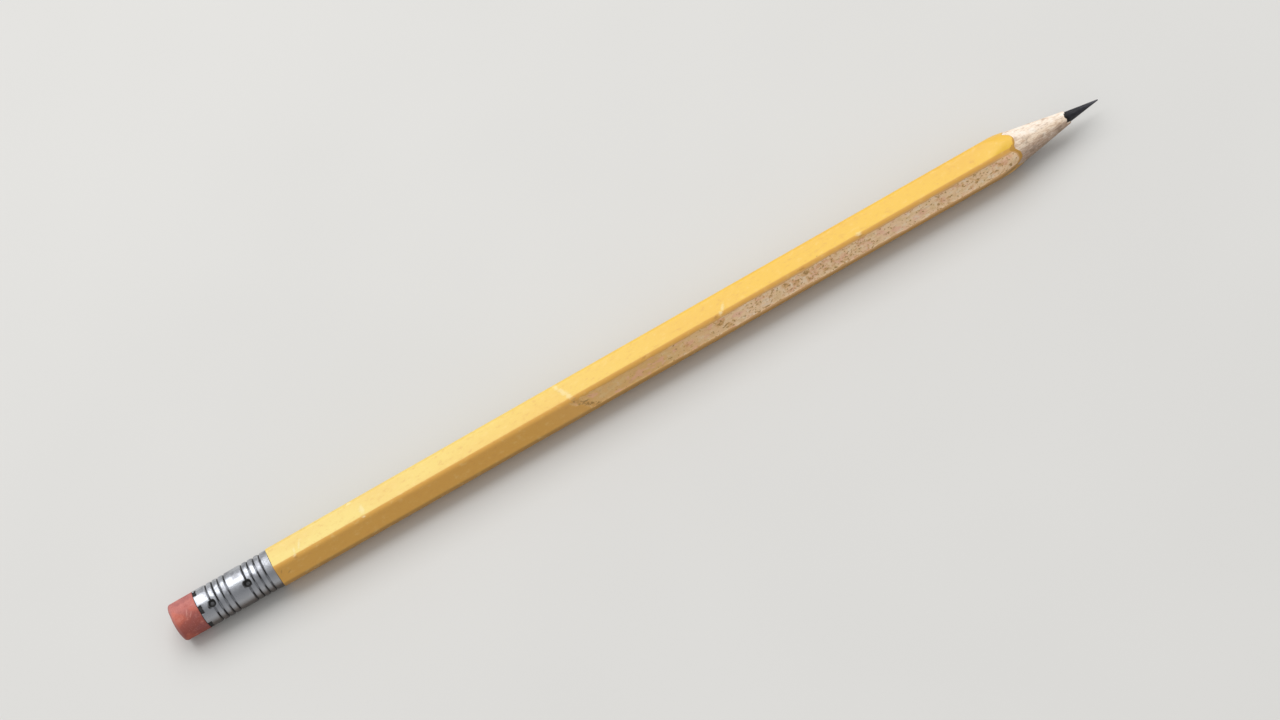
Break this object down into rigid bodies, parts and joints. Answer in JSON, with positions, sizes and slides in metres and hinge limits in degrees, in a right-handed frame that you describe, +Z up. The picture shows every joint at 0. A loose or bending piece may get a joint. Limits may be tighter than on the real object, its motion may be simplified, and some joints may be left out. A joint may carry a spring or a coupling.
{
  "type": "pencil",
  "caption": "Hexagonal wood-cased writing pencil, lightly used and sharpened, with a grooved metal ferrule, a pink eraser and one flat worn down to bare wood.",
  "frame": {"origin": "bottom centre of the pencil's box, on the surface it lies on", "axes": "+X along the pencil towards its point, +Z up, out of the flat opposite the one it lies on; the worn flat faces -Y and up"},
  "size_m": [0.1786, 0.0078, 0.0071],
  "materials": {
    "lacquered_casing_upper": "gloss",
    "lacquered_casing_lower": "gloss",
    "graphite": "satin",
    "ferrule_aluminium": "satin",
    "eraser_rubber": "matte"
  },
  "bodies": {
    "root": {"casing_upper_half": "lacquered_casing_upper", "casing_lower_half": "lacquered_casing_lower", "graphite_core": "graphite", "ferrule": "ferrule_aluminium", "eraser": "eraser_rubber"}
  },
  "joints": []
}
